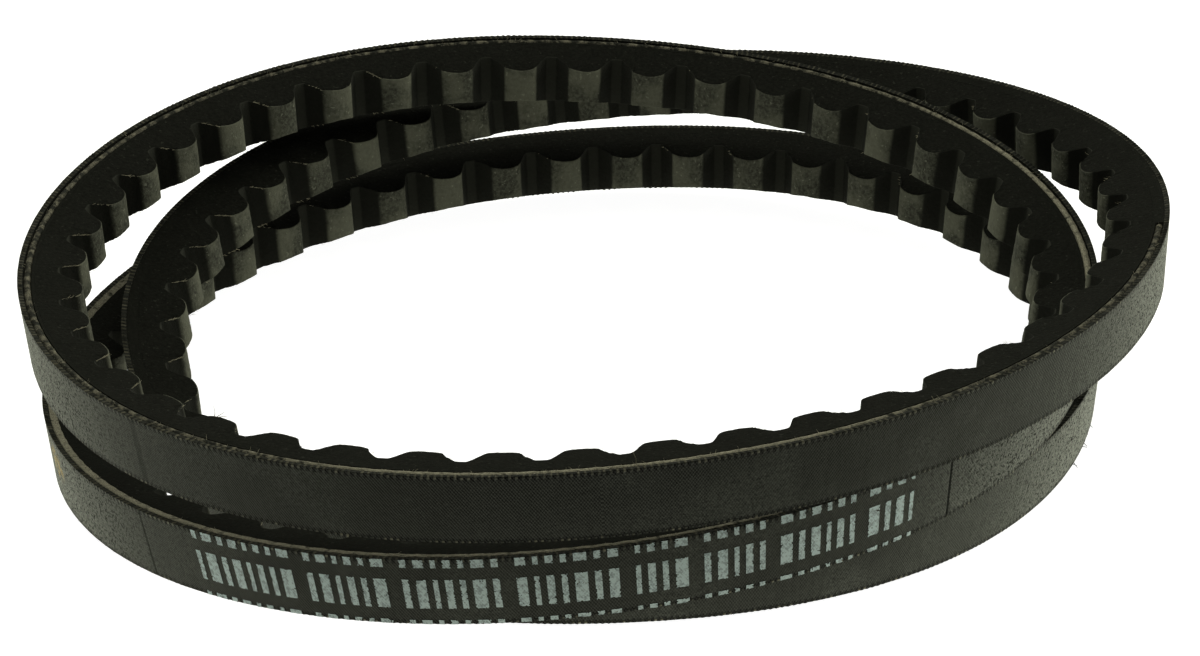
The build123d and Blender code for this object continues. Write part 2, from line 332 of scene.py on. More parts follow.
def fabric_material():
    """Rubberised bias-cut weave: yarn bumps, dark pits, faint cross bands, pale cut yarn ends and painted
    sheen at the coil's left and right sides.
    """
    n = Nodes("back_fabric")
    s, across = n.belt_uv()
    weave = weave_nodes(n, s, across)
    grain = n.noise(n.place(), 2600, 3, 0.65)
    specks = n.above(n.noise(n.place(), 2700, 2, 0.6), 0.56, 0.60)
    # painted sheen and pits: this mask is high round the listed distances at the coil's sides and in faint
    # random patches; it lightens the back there and gathers the dark pits
    worn = n.math("MULTIPLY", n.above(n.noise(n.place(), 80, 2), 0.42, 0.68), 0.25)
    for middle in SHEEN_AND_PITS_AT:
        away = n.math("ABSOLUTE", n.math("SUBTRACT", s, middle))
        worn = n.math("MAXIMUM", worn, n.above(away, SHEEN_AND_PITS_LENGTH, SHEEN_AND_PITS_LENGTH * 0.4))
    specks = n.math("MULTIPLY", specks, worn)
    bands = n.above(n.noise(n.vector(n.math("MULTIPLY", s, 0.13)), 1.0, 4, 0.7), 0.38, 0.62)
    long_grain = n.vector(n.math("MULTIPLY", s, 1.3), n.math("MULTIPLY", across, 0.16))
    streaks = n.above(n.noise(long_grain, 1.0, 3, 0.6), 0.40, 0.66)

    tone = n.math("MULTIPLY_ADD", weave, 0.6, 0.5, clamp=True)
    color = n.mix(tone, grey(0.009, 0.06), grey(0.064, 0.06))
    color = n.mix(n.math("MULTIPLY", n.math("SUBTRACT", 1.0, bands), 0.30), color, grey(0.008, 0.1))
    color = n.mix(n.math("MULTIPLY", streaks, 0.30), color, grey(0.060, 0.06))
    color = n.mix(n.math("MULTIPLY", n.above(grain, 0.45, 0.7), 0.35), color, grey(0.070, 0.06))
    # painted sheen: pale grey standing in for the bright grazing reflection at the coil's sides
    painted_sheen = n.mix(n.above(grain, 0.3, 0.7), grey(0.06), grey(0.32, 0.04))
    color = n.mix(n.math("MULTIPLY", worn, 0.75), color, painted_sheen)
    color = n.mix(specks, color, grey(0.001, 0.1))
    seam = 0.0
    for line, half, strength in SEAMS:
        near = n.above(n.math("ABSOLUTE", n.math("SUBTRACT", s, line)), half, half * 0.4)
        near = n.math("MULTIPLY", near, n.math("MULTIPLY_ADD", grain, 0.8, strength - 0.4, clamp=True))
        seam = n.math("MAXIMUM", near, seam)
    color = n.mix(seam, color, grey(0.002))
    stain_s = n.math("DIVIDE", n.math("SUBTRACT", s, STAIN_AT[0]), STAIN_SIZE[0])
    stain_a = n.math("DIVIDE", n.math("SUBTRACT", across, STAIN_AT[1]), STAIN_SIZE[1])
    far = n.math("ADD", n.math("MULTIPLY", stain_s, stain_s), n.math("MULTIPLY", stain_a, stain_a))
    blotch = n.math("MULTIPLY", n.above(far, 1.0, 0.2), n.above(n.noise(n.place(), 700, 3), 0.42, 0.58))
    color = n.mix(n.math("MULTIPLY", blotch, 0.8), color, (0.50, 0.35, 0.11, 1))

    edge = n.above(n.math("ABSOLUTE", across), TOP_WIDTH / 2 - 0.45, TOP_WIDTH / 2 - 0.25)
    inner_edge = n.above(n.math("ABSOLUTE", across), TOP_WIDTH / 2 - 0.8, TOP_WIDTH / 2 - 0.5)
    yarn_end = n.above(n.math("SINE", n.math("MULTIPLY", s, 2 * math.pi / EDGE_YARN)), -0.2, 0.6)
    broad_patch = n.vector(n.math("MULTIPLY", s, 0.35), n.math("MULTIPLY", across, 0.2))
    pale = n.above(n.noise(broad_patch, 1.0, 4), 0.48, 0.62)
    thread = n.math("MULTIPLY", edge, yarn_end)
    gaps = n.math("MULTIPLY", inner_edge, n.math("SUBTRACT", 1.0, yarn_end))
    color = n.mix(n.math("MULTIPLY", gaps, 0.85), color, grey(0.003, 0.1))
    color = n.mix(n.math("MULTIPLY", edge, 0.92), color, grey(0.003, 0.1))
    thread_color = n.mix(pale, grey(0.060, 0.1), (0.30, 0.28, 0.22, 1))
    color = n.mix(n.math("MULTIPLY", thread, 0.8), color, thread_color)

    height = n.math("ADD", n.math("MULTIPLY", weave, 0.25), n.math("MULTIPLY", grain, 0.5))
    height = n.math("ADD", height, n.math("MULTIPLY", n.noise(n.place(), 1000, 2), 0.7))
    height = n.math("SUBTRACT", height, n.math("MULTIPLY", specks, 2.2))
    height = n.math("SUBTRACT", height, n.math("MULTIPLY", seam, 1.5))
    height = n.math("ADD", height, thread)
    rough = n.math("MULTIPLY_ADD", grain, 0.3, 0.24)
    rough = n.math("ADD", rough, n.math("MULTIPLY", n.math("MAXIMUM", specks, seam), 0.5), clamp=True)
    return n.finish(color, rough, n.bump(height, 0.17), 0.18)


def cut_fabric_material():
    """The cut edge of the fabric: black rubber with the pale ends of single yarns."""
    n = Nodes("fabric_cut_edge")
    s, _ = n.belt_uv()
    yarn_end = n.above(n.math("SINE", n.math("MULTIPLY", s, 2 * math.pi / EDGE_YARN)), 0.0, 0.9)
    kept = n.above(n.noise(n.vector(n.math("MULTIPLY", s, 0.7)), 1.0, 3), 0.38, 0.62)
    grain = n.noise(n.place(), 2400, 3)
    dark = n.mix(n.above(grain, 0.4, 0.7), grey(0.005, 0.1), grey(0.012, 0.1))
    color = n.mix(n.math("MULTIPLY", n.math("MULTIPLY", yarn_end, kept), 0.6), dark, (0.11, 0.10, 0.075, 1))
    height = n.math("ADD", n.math("MULTIPLY", yarn_end, 0.8), grain)
    return n.finish(color, 0.85, n.bump(height, 0.08), 0.15)


def rubber_material(name, dark, light, rough, bump, warm, specular, flecks=0.5):
    """Fibre-filled rubber: fine grain and short pale fibre ends."""
    n = Nodes(name)
    grain = n.noise(n.place(), 2100, 4, 0.7)
    broad = n.noise(n.place(), 160, 3)
    fibres = n.above(n.noise(n.place(), 1900, 1), 0.68, 0.73)
    color = n.mix(n.above(grain, 0.3, 0.75), grey(dark, warm), grey(light, warm))
    color = n.mix(n.math("MULTIPLY", fibres, flecks), color, grey(light * 3, warm))
    height = n.math("ADD", grain, n.math("MULTIPLY", broad, 0.6))
    rougher = n.math("MULTIPLY_ADD", broad, 0.2, rough - 0.1)
    return n.finish(color, rougher, n.bump(height, bump), specular)


def cog_face_material():
    """The moulded face: lighter and rough on the tips, darker down the walls, with a painted highlight along
    the bottom of each notch.
    """
    n = Nodes("cog_face")
    grain = n.noise(n.place(), 2100, 4, 0.7)
    broad = n.noise(n.place(), 160, 3)
    specks = n.above(n.noise(n.place(), 1900, 1), 0.68, 0.73)
    depth = n.node("ShaderNodeSeparateXYZ")
    n.feed(depth.inputs[0], n.node("ShaderNodeUVMap", uv_map="profile").outputs[0])
    noisy_depth = n.math("ADD", depth.outputs[0], n.math("MULTIPLY", n.math("SUBTRACT", broad, 0.5), 0.5))
    tip = n.above(noisy_depth, HEIGHT - 1.1, HEIGHT - 0.5)
    # painted highlight: a lighter strip along the bottom of each notch
    root = n.above(depth.outputs[0], FLOOR + 0.12, FLOOR + 0.02)
    wall = n.mix(grain, grey(0.007, 0.1), grey(0.014, 0.1))
    wall = n.mix(root, wall, grey(0.020, 0.1))
    face = n.mix(n.above(grain, 0.3, 0.75), grey(0.022, 0.13), grey(0.085, 0.13))
    face = n.mix(n.math("MULTIPLY", n.above(broad, 0.4, 0.62), 0.55), face, grey(0.13, 0.16))
    face = n.mix(n.math("MULTIPLY", specks, 0.5), face, grey(0.20, 0.13))
    height = n.math("ADD", grain, n.math("MULTIPLY", broad, 0.6))
    rough = n.math("MULTIPLY_ADD", tip, -0.1, 0.9)
    return n.finish(n.mix(tip, wall, face), rough, n.bump(height, 0.17), 0.12)


def cord_material():
    """Yarn smeared with black rubber: tan filaments show in patches, most on its cleanest stretch."""
    n = Nodes("tensile_cord")
    s, around = n.belt_uv()
    filament = n.noise(n.vector(n.math("MULTIPLY", s, 2.2), n.math("MULTIPLY", around, 9.0)), 1.0, 4, 0.75)
    patches = n.noise(n.vector(n.math("MULTIPLY", s, 0.45)), 1.0, 4, 0.75)
    fluff = n.noise(n.place(), 1500, 3, 0.7)
    bulge = n.math("MULTIPLY", n.math("COSINE", n.math("MULTIPLY", s, 2 * math.pi / STRAND_BUMP)), 0.04)
    middle = n.math("ABSOLUTE", n.math("SUBTRACT", s, distance_at(CLEAN_CORD_AT)))
    start_of_cut = n.math("PINGPONG", s, DATUM_LENGTH / 2)
    clean = n.math("MAXIMUM", n.above(middle, 190, 100), n.above(start_of_cut, 50, 20))
    bare = n.math("ADD", n.math("MULTIPLY", patches, 0.5), n.math("MULTIPLY", fluff, 0.5))
    bare = n.math("ADD", bare, bulge)
    bare = n.math("ADD", bare, n.math("MULTIPLY", clean, 0.12))
    bare = n.above(bare, 0.44, 0.62)
    yarn = n.mix(n.above(filament, 0.3, 0.7), (0.06, 0.053, 0.040, 1), (0.40, 0.37, 0.30, 1))
    yarn = n.mix(n.math("MULTIPLY", n.math("SUBTRACT", 1.0, clean), 0.6), yarn, (0.095, 0.085, 0.066, 1))
    color = n.mix(bare, grey(0.010, 0.15), yarn)
    height = n.math("ADD", filament, fluff)
    return n.finish(color, 0.85, n.bump(height, 0.12), 0.15)


def fibre_material():
    n = Nodes("loose_fibre")
    tone = n.noise(n.place(), 400, 1)
    return n.finish(n.mix(tone, (0.14, 0.12, 0.085, 1), (0.50, 0.46, 0.36, 1)), 0.7, None, 0.3)


def ink_material():
    """Matt pale ink lying in the weave."""
    n = Nodes("ink")
    s, across = n.belt_uv()
    weave = weave_nodes(n, s, across)
    grain = n.noise(n.place(), 1900, 4, 0.65)
    worn = n.above(n.math("ADD", grain, n.math("MULTIPLY", weave, 0.06)), 0.36, 0.56)
    color = n.mix(worn, (0.40, 0.47, 0.52, 1), (0.72, 0.84, 0.90, 1))
    height = n.math("ADD", n.math("MULTIPLY", n.math("ABSOLUTE", weave), 0.7), n.math("MULTIPLY", grain, 0.6))
    return n.finish(color, 0.7, n.bump(height, 0.05), 0.2)


STRAND_BUMP = 2.4           # distance between two bulges of the cord's twist
STRANDS = 3
CLEAN_CORD_AT = 1.0         # turns: the lap where the cut cord is least smeared
FABRIC_BACK = fabric_material()
FABRIC_CUT = cut_fabric_material()
FLANK = rubber_material("raw_flank", 0.004, 0.010, 0.95, 0.11, 0.1, specular=0.05)
COG_FACE = cog_face_material()
GUM = rubber_material("adhesion_gum", 0.005, 0.010, 0.95, 0.08, 0.1, specular=0.05)
CORD = cord_material()
INK = ink_material()
FIBRE = fibre_material()


# ---- meshes ----
def mesh_piece(name, vertices, faces, materials, cell_material=None, uv=None, sharp=32):
    """An object that rides on the one body."""
    mesh = bpy.data.meshes.new(name)
    mesh.vertices.add(len(vertices))
    mesh.vertices.foreach_set("co", np.ascontiguousarray(vertices, dtype=np.float32).ravel())
    corners = faces.shape[1]
    mesh.loops.add(faces.size)
    mesh.loops.foreach_set("vertex_index", np.ascontiguousarray(faces, dtype=np.int32).ravel())
    mesh.polygons.add(len(faces))
    mesh.polygons.foreach_set("loop_start", np.arange(0, faces.size, corners, dtype=np.int32))
    for material in materials:
        mesh.materials.append(material)
    if cell_material is not None:
        face_material = np.ascontiguousarray(cell_material, dtype=np.int32).ravel()
        mesh.polygons.foreach_set("material_index", face_material)
    if uv is not None:
        layer = mesh.uv_layers.new(name="belt")
        layer.data.foreach_set("uv", np.ascontiguousarray(uv, dtype=np.float32).ravel())
    mesh.update(calc_edges=True)
    mesh.polygons.foreach_set("use_smooth", np.ones(len(faces), dtype=bool))
    mesh.set_sharp_from_angle(angle=math.radians(sharp))
    mesh.validate()
    piece = bpy.data.objects.new(name, mesh)
    bpy.context.scene.collection.objects.link(piece)
    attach(piece, "root")
    return piece


def tube_faces(rows, columns, closed_along, offset=0):
    """Quads of a grid whose columns close round; rows close too on a ring."""
    i = np.arange(rows if closed_along else rows - 1)[:, None]
    j = np.arange(columns)[None, :]
    after_i, after_j = (i + 1) % rows, (j + 1) % columns
    quads = np.stack([i * columns + j, i * columns + after_j, after_i * columns + after_j,
                      after_i * columns + j], -1)
    return quads.reshape(-1, 4) + offset


def ring_uv(distance, across):
    """UVs of a ring of quads, in millimetres; the last row continues past the first."""
    length = np.append(distance, distance[0] + DATUM_LENGTH)
    wide = np.concatenate([across, across[:, :1]], 1)
    wide = np.concatenate([wide, wide[:1]], 0)
    rows, columns = across.shape
    i, j = np.arange(rows)[:, None], np.arange(columns)[None, :]

    def corner(a, b):
        return np.stack([np.broadcast_to(length[i + a], (rows, columns)), wide[i + a, j + b]], -1)

    return np.stack([corner(0, 0), corner(0, 1), corner(1, 1), corner(1, 0)], 2).reshape(-1, 2)


def ring_piece(name, distance, across, depth, materials, cell_material=None, uv_across=None,
               sharp=32):
    """A closed layer of the belt from its outline (across, depth) at each distance."""
    points = belt_points(distance, across, depth)
    rows, columns = across.shape
    faces = tube_faces(rows, columns, True)
    uv = ring_uv(distance, across if uv_across is None else uv_across)
    cells = None if cell_material is None else np.broadcast_to(cell_material, (rows, columns))
    return mesh_piece(name, points.reshape(-1, 3), faces, materials, cells, uv, sharp)


def smooth_noise(places, period):
    """One-dimensional smooth noise in -1..1 at the given distances, with features about period long."""
    count = max(4, round(DATUM_LENGTH / period))
    values = rng.uniform(-1, 1, count)
    x = np.mod(places, DATUM_LENGTH) / DATUM_LENGTH * count
    i = np.floor(x).astype(int) % count
    f = x - np.floor(x)
    f = f * f * (3 - 2 * f)
    return values[i] * (1 - f) + values[(i + 1) % count] * f


def even_stations(step):
    return np.linspace(0, DATUM_LENGTH, round(DATUM_LENGTH / step), endpoint=False)


def columns_of(rows, values):
    return np.tile(np.asarray(values, float), (rows, 1))


# ---- back fabric ----
def build_fabric():
    """The fabric ply: a back with shallow dents along it and cut edges that are ragged yarn by yarn."""
    distance = even_stations(EDGE_YARN / 2)
    rows = len(distance)
    half = half_width(0)
    back = np.linspace(-half + 0.06, half - 0.06, 21)
    rise = [0.05, 0.25, 0.45, FABRIC]
    right = [half_width(d) for d in rise]
    across = columns_of(rows, np.concatenate([back, right, -np.array(right[::-1])]))
    depth = columns_of(rows, np.concatenate([np.zeros(21), rise, rise[::-1]]))
    comb = 0.14 * np.where(np.arange(rows) % 2, 1, -1)
    ragged = comb * (0.6 + 0.6 * smooth_noise(distance, 2)) + 0.04 * smooth_noise(distance, 0.8)
    other = comb * (0.6 + 0.6 * smooth_noise(distance, 2)) + 0.04 * smooth_noise(distance, 0.8)
    share = np.array([0.5, 1.0, 0.8, 0.2])
    across[:, 21:25] += ragged[:, None] * share
    across[:, 25:29] -= other[:, None] * share[::-1]
    dent = 0.012 * smooth_noise(distance, 1.1) + 0.02 * smooth_noise(distance, 9)
    depth[:, :21] += np.abs(dent)[:, None]
    cells = np.zeros(29, int)
    cells[20:24] = 1
    cells[25:29] = 1
    piece = ring_piece("back_fabric_ply", distance, across, depth, [FABRIC_BACK, FABRIC_CUT], cells)
    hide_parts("back_fabric")


# ---- cut cord on the flanks ----
EXPOSED_FROM = distance_at(-0.22)
EXPOSED_TO = distance_at(1.42)
CORD_RADIUS = CORD_DIAMETER / 2


# (turn, how far the cut cord's middle lies outside the flank); it drifts outwards along the belt
DRIFT = [(-0.22, -0.485), (0.0, -0.43), (0.2, -0.455), (0.6, -0.455), (0.85, -0.38), (1.0, -0.2),
         (1.2, -0.05), (1.42, 0.4)]


def cord_offset(distance):
    """Place of the cut cord's middle outside the flank at each distance, or nan where no lap is cut."""
    past = np.mod(distance - EXPOSED_FROM, DATUM_LENGTH)
    marks = np.array([distance_at(turn) - EXPOSED_FROM for turn, _ in DRIFT])
    offset = np.interp(past, marks, [drift for _, drift in DRIFT])
    return np.where(past <= EXPOSED_TO - EXPOSED_FROM, offset, np.nan)


def strand_radius(distance, around):
    """Radius of the twisted cord, bulging where each strand comes to the outside."""
    turn = around - distance * 2 * math.pi / (STRAND_BUMP * STRANDS)
    bulge = np.abs(np.cos(turn * STRANDS / 2))
    return CORD_RADIUS * (0.86 + 0.14 * bulge)


def build_cut_cord(side, name, node):
    """The lap that the flank cut open: a twisted cord cut flat, frayed, and proud of the rubber."""
    distance = np.arange(EXPOSED_FROM + 0.01, EXPOSED_TO - 0.01, 0.3)
    rows, columns = len(distance), 20
    around = np.linspace(0, 2 * math.pi, columns, endpoint=False)[None, :]
    radius = np.maximum(strand_radius(distance[:, None], around) - 0.015, 0.44)
    offset = cord_offset(distance)[:, None] + 0.03 * smooth_noise(distance, 5)[:, None]
    depth = CORD_MIDDLE + radius * np.sin(around)
    proud = 0.035 + 0.03 * np.cos(distance * 2 * math.pi / STRAND_BUMP)[:, None]
    limit = half_width(depth) + proud + 0.015 * rng.uniform(-1, 1, (rows, columns))
    middle = half_width(CORD_MIDDLE) + offset
    across = side * np.minimum(middle + radius * np.cos(around), limit)
    points = belt_points(distance, across, np.broadcast_to(depth, across.shape))
    faces = tube_faces(rows, columns, False)
    uv = open_uv(distance, np.broadcast_to(around / 2, (rows, columns)))
    vertices, faces, uv = add_caps(points, faces, uv, rows, columns)
    piece = mesh_piece(name, vertices, faces, [CORD], None, uv, 50)
    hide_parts(node)


def open_uv(distance, across):
    rows, columns = across.shape
    wide = np.concatenate([across, across[:, :1]], 1)
    i, j = np.arange(rows - 1)[:, None], np.arange(columns)[None, :]

    def corner(a, b):
        return np.stack([np.broadcast_to(distance[i + a], (rows - 1, columns)), wide[i + a, j + b]], -1)

    return np.stack([corner(0, 0), corner(0, 1), corner(1, 1), corner(1, 0)], 2).reshape(-1, 2)


def add_caps(points, faces, uv, rows, columns):
    """Close both ends of a tube with quads folded across its end loops."""
    half = columns // 2
    caps = []
    for first, flip in ((0, False), ((rows - 1) * columns, True)):
        for j in range(half - 1):
            quad = [first + j, first + j + 1, first + columns - j - 2, first + columns - j - 1]
            caps.append(quad if flip else quad[::-1])
    caps = np.array(caps)
    cap_uv = np.zeros((caps.size, 2))
    return points.reshape(-1, 3), np.concatenate([faces, caps]), np.concatenate([uv, cap_uv])


# ---- adhesion gum ----
def build_gum():
    """Rubber round the cord: round grooves for the laps, and an open channel where a lap is cut."""
    distance = even_stations(0.8)
    rows = len(distance)
    spacing = 2 * half_width(CORD_MIDDLE) / (CORD_LAPS + 1)
    groove_angles = np.radians([20, 65, 115, 180, 245, 295, 340])
    across, depth = [], []
    for lap in range(CORD_LAPS, 0, -1):
        middle = half_width(CORD_MIDDLE) - lap * spacing
        across += list(middle - CORD_RADIUS * np.sin(groove_angles))
        depth += list(CORD_MIDDLE - CORD_RADIUS * np.cos(groove_angles))
    flank_depth = np.linspace(CORD_TOP, GUM_BOTTOM, 12)
    offset = cord_offset(distance)
    chord = np.sqrt(np.clip(CORD_RADIUS ** 2 - (flank_depth - CORD_MIDDLE) ** 2, 0, None))
    channel = half_width(CORD_MIDDLE) + offset[:, None] - chord[None, :]
    plain = half_width(flank_depth)[None, :] + 0.012 * smooth_noise(distance, 1.3)[:, None]
    inside = (chord > 0.05)[None, :] & np.isfinite(offset)[:, None]
    flank = np.where(inside, np.minimum(plain, np.nan_to_num(channel, nan=99.0)), plain)
    across = np.concatenate([columns_of(rows, across), flank, -flank[:, ::-1]], 1)
    depth = np.concatenate([columns_of(rows, depth), columns_of(rows, flank_depth),
                            columns_of(rows, flank_depth[::-1])], 1)
    piece = ring_piece("adhesion_gum_layer", distance, across, depth, [GUM],
                       sharp=40)
    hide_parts("adhesion_gum")


def build_laps():
    """The whole laps of the winding, bedded in the gum."""
    distance = even_stations(1.2)
    rows, columns = len(distance), 10
    around = np.linspace(0, 2 * math.pi, columns, endpoint=False)[None, :]
    spacing = 2 * half_width(CORD_MIDDLE) / (CORD_LAPS + 1)
    radius = strand_radius(distance[:, None], around) - 0.03
    for lap in range(1, CORD_LAPS + 1):
        across = half_width(CORD_MIDDLE) - lap * spacing + radius * np.cos(around)
        depth = CORD_MIDDLE + radius * np.sin(around)
        piece = ring_piece(f"cord_lap_{lap}", distance, across, depth, [CORD], None,
                           np.broadcast_to(around / 2, (rows, columns)), 60)
        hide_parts(f"tensile_cord_lap_{lap}")


# ---- cogged rubber ----
def cog_samples():
    """Distance from the notch, depth and stretch number at each station of one cog."""
    places, depths, stretches = [], [], []
    for number, ((x0, d0, m0), (x1, d1, m1), steps) in enumerate(PROFILE):
        f = np.arange(steps) / steps
        h = x1 - x0
        places.append(x0 + h * f)
        depths.append(d0 * (1 + 2 * f) * (1 - f) ** 2 + d1 * f * f * (3 - 2 * f)
                      + m0 * h * f * (1 - f) ** 2 - m1 * h * f * f * (1 - f))
        stretches.append(np.full(steps, number))
    return np.concatenate(places), np.concatenate(depths), np.concatenate(stretches)


def build_rubber():
    """The cogged body. Each cog has a sharp, ragged leading edge and a rounded trailing one."""
    place, cog_depth, stretch = cog_samples()
    notch = FIRST_COG + (np.arange(COGS) - 0.5) * COG_PITCH
    distance = (notch[:, None] + place[None, :]).ravel()
    bottom = np.tile(cog_depth, COGS)
    stretch = np.tile(stretch, COGS)
    rows = len(distance)
    wander = 0.05 * smooth_noise(distance, COG_PITCH)
    bottom = bottom + wander * (bottom > HEIGHT - 1.5)
    leading = (stretch == 1) | (stretch == 2)
    ragged = np.where(leading, rng.uniform(-0.09, 0.03, rows), rng.uniform(-0.02, 0.015, rows))
    ragged_other = np.where(leading, rng.uniform(-0.09, 0.03, rows), rng.uniform(-0.02, 0.015, rows))
    corner = 0.10
    flank_share = np.linspace(0, 1, 10)[None, :]
    flank_depth = RUBBER_TOP + flank_share * (bottom[:, None] - corner - RUBBER_TOP)
    from_middle = np.mod(distance - FIRST_COG + COG_PITCH / 2, COG_PITCH) - COG_PITCH / 2
    middle_of_cog = np.exp(-(from_middle / 1.8) ** 2)
    hollow = 0.10 * middle_of_cog[:, None] * np.clip((flank_depth - 4.5) / 3.5, 0, 1) ** 2
    flank = half_width(flank_depth) - hollow
    flank_up = flank + ragged[:, None] * flank_share ** 3 + 0.012 * smooth_noise(distance, 1.0)[:, None]
    flank_low = (flank + ragged_other[:, None] * flank_share ** 3
                 + 0.012 * smooth_noise(distance, 1.0)[:, None])
    under_share = np.linspace(1, -1, 13)[None, :]
    reach_up = flank_up[:, -1:] - corner * 0.7
    reach_low = flank_low[:, -1:] - corner * 0.7
    under = np.where(under_share > 0, under_share * reach_up, under_share * reach_low)
    uneven = 0.03 * rng.normal(0, 1, (rows, 13)) * 0.4
    under_depth = bottom[:, None] + uneven
    across = np.concatenate([flank_up, under, -flank_low[:, ::-1]], 1)
    depth = np.concatenate([flank_depth, under_depth, flank_depth[:, ::-1]], 1)
    columns = across.shape[1]
    cells = np.zeros((rows, columns), int)
    cells[:, 9:23] = 1
    piece = ring_piece("cogged_rubber_body", distance, across, depth, [FLANK, COG_FACE], cells,
                       sharp=35)
    profile = piece.data.uv_layers.new(name="profile")
    after = np.roll(depth, -1, 0)
    corner_depth = np.stack([depth, np.roll(depth, -1, 1), np.roll(after, -1, 1), after], 2)
    profile.data.foreach_set("uv", np.stack([corner_depth, corner_depth], -1).astype(np.float32).ravel())
    piece.data.uv_layers["belt"].active_render = True
    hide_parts("cogged_rubber")


# ---- ink ----
MARK_HEIGHT = 4.3
MARK_ACROSS = -0.3
MARK_MIDDLE = 1.012
MARK_GROUPS = (4, 6, 5, 4, 7, 7, 6, 8)
BAR_WIDTHS = (0.6, 1.2, 0.8, 1.5, 0.7, 0.9)
BAR_GAP = 0.8
GROUP_GAP = 1.1
INK_CELL = 0.1
INK_DEPTH = -0.03


def marking_bars():
    bars = []
    place = 0.0
    for group in MARK_GROUPS:
        for _ in range(group):
            width = BAR_WIDTHS[len(bars) % len(BAR_WIDTHS)]
            bars.append((place, place + width))
            place += width + BAR_GAP
        place += GROUP_GAP
    start_of_row = distance_at(MARK_MIDDLE) - bars[-1][1] / 2
    return [(start_of_row + start, start_of_row + end) for start, end in bars]


def value_noise(x, y, period):
    """Smooth two-dimensional noise in 0..1."""
    table = np.random.default_rng(5).uniform(0, 1, (256, 256))
    x, y = x / period, y / period
    i, j = np.floor(x).astype(int), np.floor(y).astype(int)
    f, g = x - i, y - j
    f, g = f * f * (3 - 2 * f), g * g * (3 - 2 * g)

    def at(a, b):
        return table[(i + a) % 256, (j + b) % 256]

    return (at(0, 0) * (1 - f) + at(1, 0) * f) * (1 - g) + (at(0, 1) * (1 - f) + at(1, 1) * f) * g


def build_marking(name, node, low, high):
    """Bars of ink with soft corners, worn through in noisy specks that gather towards their edges."""
    vertices, faces, uvs = [], [], []
    count = 0
    for start, end in marking_bars():
        s = np.arange(start, end + INK_CELL / 2, INK_CELL)
        a = np.arange(low, high + INK_CELL / 2, INK_CELL)
        grid_s, grid_a = np.meshgrid(s, a, indexing="ij")
        shaky_s = grid_s + 0.05 * (value_noise(grid_s, grid_a, 0.35) - 0.5)
        shaky_a = grid_a + 0.06 * (value_noise(grid_a, grid_s, 0.3) - 0.5)
        shaky_a = np.clip(shaky_a, -TOP_WIDTH / 2, TOP_WIDTH / 2)
        points = belt_points(shaky_s[:, 0] * 0 + s, shaky_a, np.full(shaky_a.shape, INK_DEPTH))
        centre_s, centre_a = grid_s[:-1, :-1] + INK_CELL / 2, grid_a[:-1, :-1] + INK_CELL / 2
        inner_s = np.minimum(centre_s - start, end - centre_s)
        inner_a = np.minimum(centre_a - low, high - centre_a)
        near_edge = np.clip(np.minimum(inner_s, inner_a) / 0.16, 0, 1)
        worn = value_noise(centre_s, centre_a, 0.16) * 0.6 + value_noise(centre_s + 9, centre_a, 0.5) * 0.4
        kept = worn > 0.30 - 0.16 * near_edge + 0.14 * (1 - near_edge)
        i, j = np.nonzero(kept)
        columns = len(a)
        first = i * columns + j
        quads = np.stack([first, first + 1, first + columns + 1, first + columns], 1)
        vertices.append(points.reshape(-1, 3))
        faces.append(quads + count)
        flat = np.stack([shaky_s.ravel(), shaky_a.ravel()], 1)
        uvs.append(flat[quads.ravel()])
        count += len(points.reshape(-1, 3))
    vertices, faces, uvs = np.concatenate(vertices), np.concatenate(faces), np.concatenate(uvs)
    used, faces = np.unique(faces, return_inverse=True)
    faces = faces.reshape(-1, 4)
    piece = mesh_piece(name, vertices[used], faces, [INK], None, uvs, 60)
    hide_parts(node)


# ---- loose fibres ----
def hair_mesh(name, hairs, material, steps, sides):
    """Thin curved tapering tubes; each hair is (distance, across, depth, length, leans, thickness)."""
    s, across, depth, length, lean_s, lean_out, lean_in, thick = np.array(hairs).T[:, :, None]
    f = np.linspace(0, 1, steps)[None, :]
    curl = rng.uniform(-0.6, 0.6, s.shape) * f * f
    size = length / np.sqrt(lean_s ** 2 + lean_out ** 2 + lean_in ** 2)
    path_s = s + size * (lean_s * f + curl * lean_out)
    path_a = across + size * (lean_out * f - curl * lean_s) - 0.05 * np.sign(across)
    path_d = depth + size * lean_in * f
    centre = belt_points(path_s.ravel(), path_a.reshape(-1, 1), path_d.reshape(-1, 1)).reshape(-1, steps, 3)
    tangent = unit(np.gradient(centre, axis=1))
    normal = unit(np.cross(tangent, (0.3, 0.5, 0.8)))
    binormal = np.cross(tangent, normal)
    ring = (np.arange(sides) * 2 * math.pi / sides)[None, None, :, None]
    taper = (thick * MM * (1 - 0.6 * f))[:, :, None, None]
    outwards = normal[:, :, None] * np.cos(ring) + binormal[:, :, None] * np.sin(ring)
    tubes = centre[:, :, None] + taper * outwards
    one = tube_faces(steps, sides, False)
    first = (np.arange(len(hairs)) * steps * sides)[:, None, None]
    ends = np.array([[3, 2, 1, 0], [0, 1, 2, 3]]) + [[0], [(steps - 1) * sides]]
    faces = np.concatenate([one[None] + first, ends[None] + first], 1).reshape(-1, 4)
    mesh_piece(name, tubes.reshape(-1, 3), faces, [material], None, np.zeros((faces.size, 2)), 60)


def hair(s, side, depth, length, lean_s, lean_out, lean_in, thick):
    return s, side * half_width(depth), depth, length, lean_s, side * lean_out, lean_in, thick


CORD_FIBRES = 700           # frayed ends along the cut cord
FUZZ_FIBRES = 5200          # short ends along the fabric's edges


